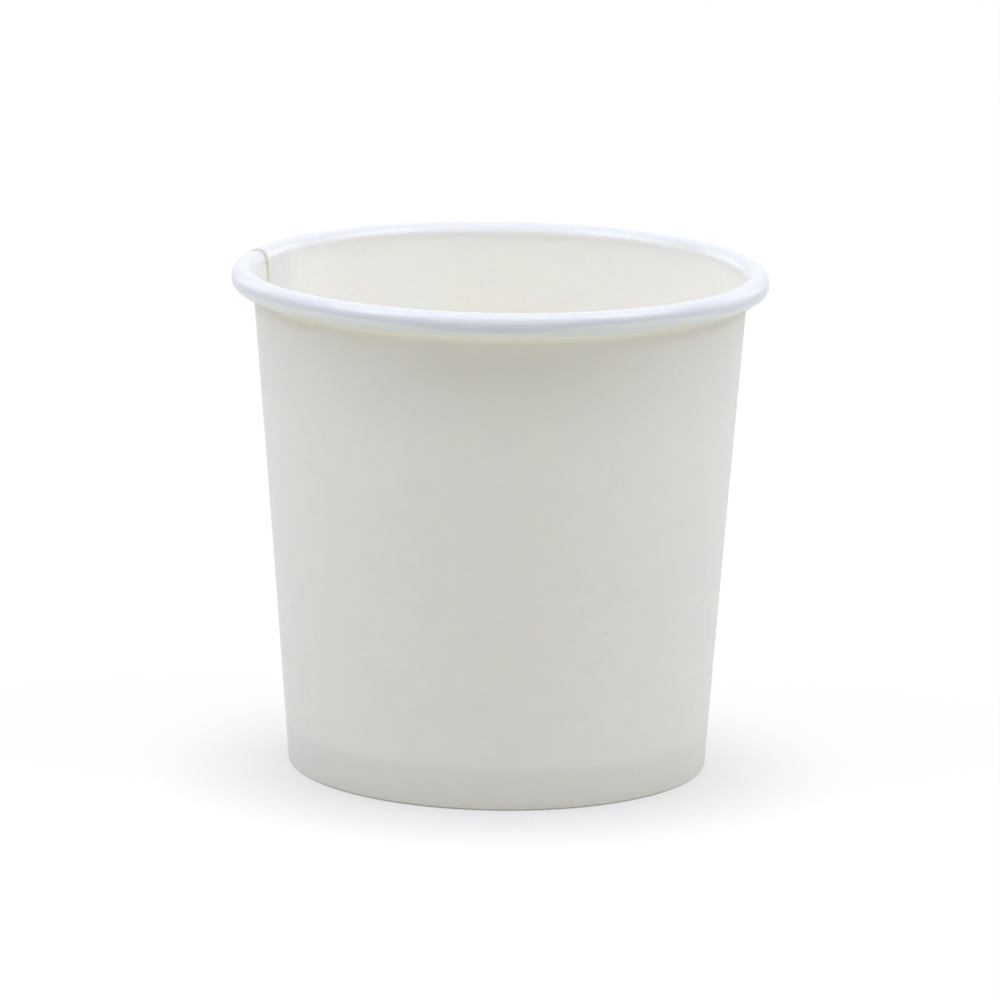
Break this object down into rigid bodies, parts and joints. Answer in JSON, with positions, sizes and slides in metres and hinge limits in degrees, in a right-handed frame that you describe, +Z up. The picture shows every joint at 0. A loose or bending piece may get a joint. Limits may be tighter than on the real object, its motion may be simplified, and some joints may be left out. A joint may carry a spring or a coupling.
{
  "type": "paper portion cup",
  "caption": "Small tapered paper cup with a rolled rim, a lapped side seam and a recessed base inside a turned-in hem.",
  "frame": {"origin": "centre of the circle that the hem stands on", "axes": "+Z up along the cup's axis, towards the mouth; -Y faces the picture's camera"},
  "size_m": [0.062, 0.062, 0.0587],
  "materials": {
    "sidewall_board": "matte outside, semi-gloss coating inside and on the rolled rim",
    "base_board": "semi-gloss coating above, matte below"
  },
  "bodies": {
    "root": {"sidewall": "sidewall_board", "base_disc": "base_board"}
  },
  "joints": []
}
